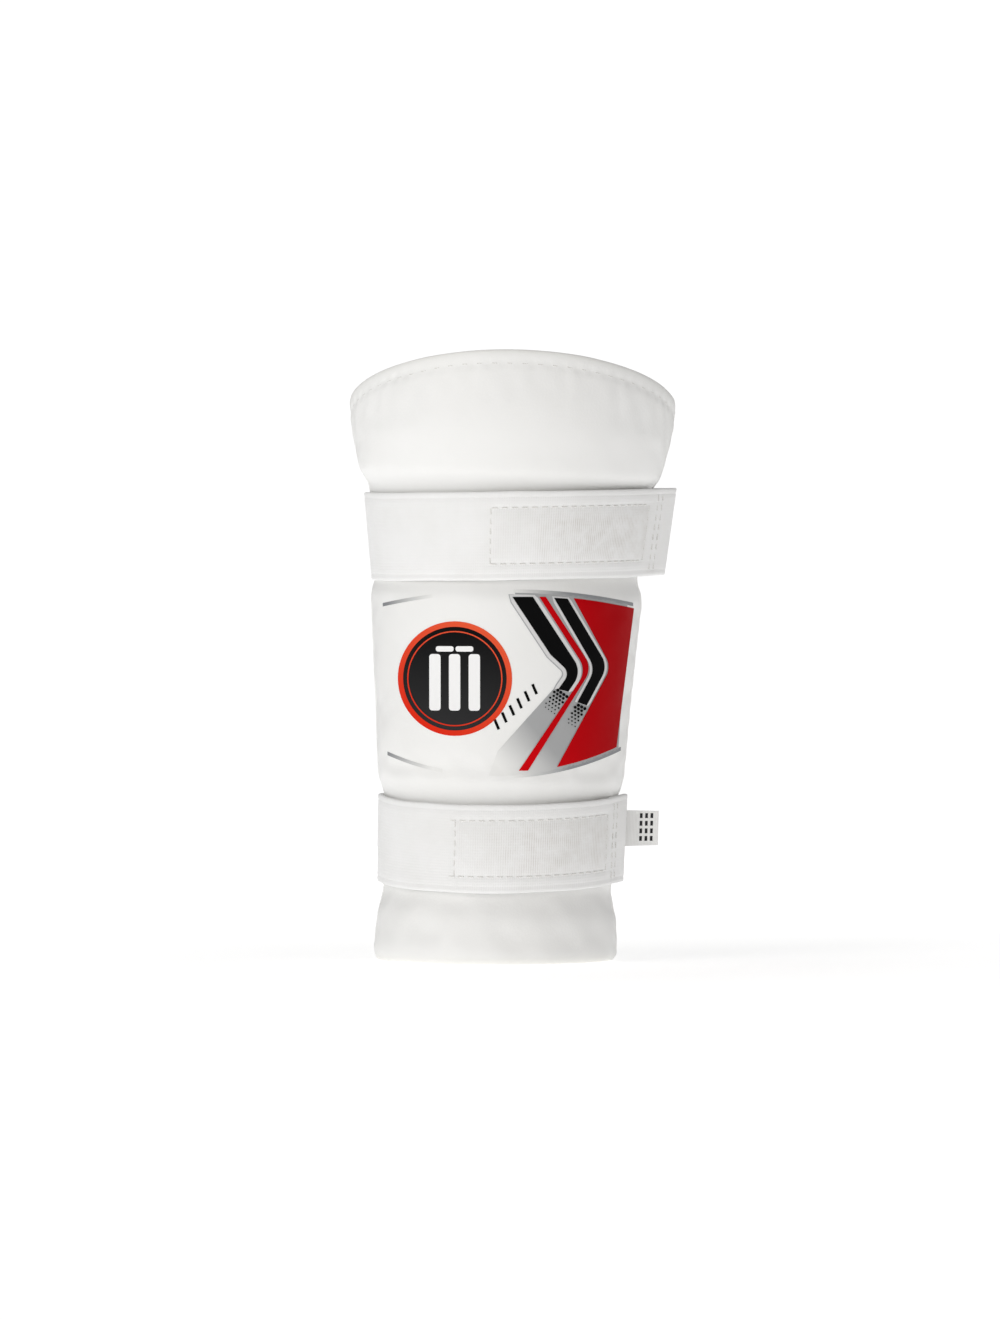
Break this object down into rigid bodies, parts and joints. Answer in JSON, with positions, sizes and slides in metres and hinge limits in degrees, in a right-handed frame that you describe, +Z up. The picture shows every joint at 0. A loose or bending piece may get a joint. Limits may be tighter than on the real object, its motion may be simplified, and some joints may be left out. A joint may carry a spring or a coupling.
{
  "type": "cricket arm guard",
  "caption": "Padded half-pipe forearm guard with an arched top, a printed white front and elastic straps that wrap the arm and close with hook and loop.",
  "frame": {"origin": "middle of the footprint, on the flat wrist end that the guard stands on", "axes": "+Z up the arm from wrist to elbow, printed front towards -Y, straps' free ends towards +X"},
  "size_m": [0.1339, 0.076, 0.25],
  "materials": {
    "coated_cover": "semi-matt white polyurethane-coated fabric",
    "towelling": "short looped cotton pile",
    "dense_foam": "closed-cell foam, cut faces",
    "soft_foam": "open-cell foam",
    "thread": "twisted polyester thread",
    "elastic": "woven elastic, fine ribs along its length",
    "hook_tape": "moulded nylon hooks",
    "loop_pile": "brushed nylon loops",
    "print_silver": "metallic grey transfer print",
    "print_black": "black transfer print",
    "print_charcoal": "charcoal transfer print",
    "print_red": "red transfer print",
    "print_orange": "orange-red transfer print",
    "print_white": "white transfer print",
    "satin_tape": "woven satin tape"
  },
  "bodies": {
    "pad": {"front_cover": "coated_cover", "back_lining": "towelling", "shield_foam": "dense_foam", "comfort_foam": "soft_foam", "side_seam_left": "coated_cover", "side_seam_right": "coated_cover", "top_stitching": "thread", "print_silver_ground": "print_silver", "print_arc_lines": "print_silver", "print_wide_chevron": "print_black", "print_red_stripe": "print_red", "print_slim_chevron": "print_black", "print_red_panel": "print_red", "print_roundel_field": "print_charcoal", "print_roundel_ring": "print_orange", "print_wicket": "print_white", "print_ticks": "print_black", "upper_loop_patch": "loop_pile", "upper_strap_anchor": "elastic", "upper_anchor_stitching": "thread", "lower_loop_patch": "loop_pile", "lower_strap_anchor": "elastic", "lower_anchor_stitching": "thread"},
    "upper_strap_rear": {"upper_strap_rear_run": "elastic"},
    "upper_strap_front": {"upper_strap_front_run": "elastic"},
    "upper_strap_free_end": {"upper_strap_end": "elastic", "upper_hook_patch": "hook_tape", "upper_hook_stitching": "thread", "upper_pull_tab": "elastic", "upper_tab_stitching": "thread"},
    "lower_strap_rear": {"lower_strap_rear_run": "elastic"},
    "lower_strap_front": {"lower_strap_front_run": "elastic"},
    "lower_strap_free_end": {"lower_strap_end": "elastic", "lower_hook_patch": "hook_tape", "lower_hook_stitching": "thread", "lower_pull_tab": "elastic", "lower_tab_stitching": "thread"},
    "size_tape": {"size_tape": "satin_tape", "size_tape_print": "print_black"}
  },
  "joints": [
    {"name": "upper_strap_swing", "type": "hinge", "parent": "pad", "child": "upper_strap_rear", "pos_m": [0.04483, 0.0267, 0.17325], "axis": [-0.0314, 0, -0.9995], "range_deg": [0, 56]},
    {"name": "upper_strap_unwrap", "type": "hinge", "parent": "upper_strap_rear", "child": "upper_strap_front", "pos_m": [-0.06186, 0.02086, 0.1766], "axis": [-0.0314, 0, -0.9995], "range_deg": [0, 112]},
    {"name": "upper_strap_peel", "type": "hinge", "parent": "upper_strap_front", "child": "upper_strap_free_end", "pos_m": [-0.00828, -0.03234, 0.17492], "axis": [-0.0314, 0, -0.9995], "range_deg": [0, 150]},
    {"name": "lower_strap_swing", "type": "hinge", "parent": "pad", "child": "lower_strap_rear", "pos_m": [0.03143, 0.02658, 0.04661], "axis": [-0.0314, 0, -0.9995], "range_deg": [0, 56]},
    {"name": "lower_strap_unwrap", "type": "hinge", "parent": "lower_strap_rear", "child": "lower_strap_front", "pos_m": [-0.05572, 0.02182, 0.04935], "axis": [-0.0314, 0, -0.9995], "range_deg": [0, 112]},
    {"name": "lower_strap_peel", "type": "hinge", "parent": "lower_strap_front", "child": "lower_strap_free_end", "pos_m": [-0.02363, -0.01932, 0.04834], "axis": [-0.0314, 0, -0.9995], "range_deg": [0, 150]},
    {"name": "size_tape_flap", "type": "hinge", "parent": "pad", "child": "size_tape", "pos_m": [0.04351, 0.0257, 0.05463], "axis": [0.0314, 0, 0.9995], "range_deg": [-5, 70]}
  ],
  "couplings": [
    {"joint": "upper_strap_swing", "follows": "upper_strap_unwrap", "ratio": 0.5},
    {"joint": "lower_strap_swing", "follows": "lower_strap_unwrap", "ratio": 0.5}
  ]
}
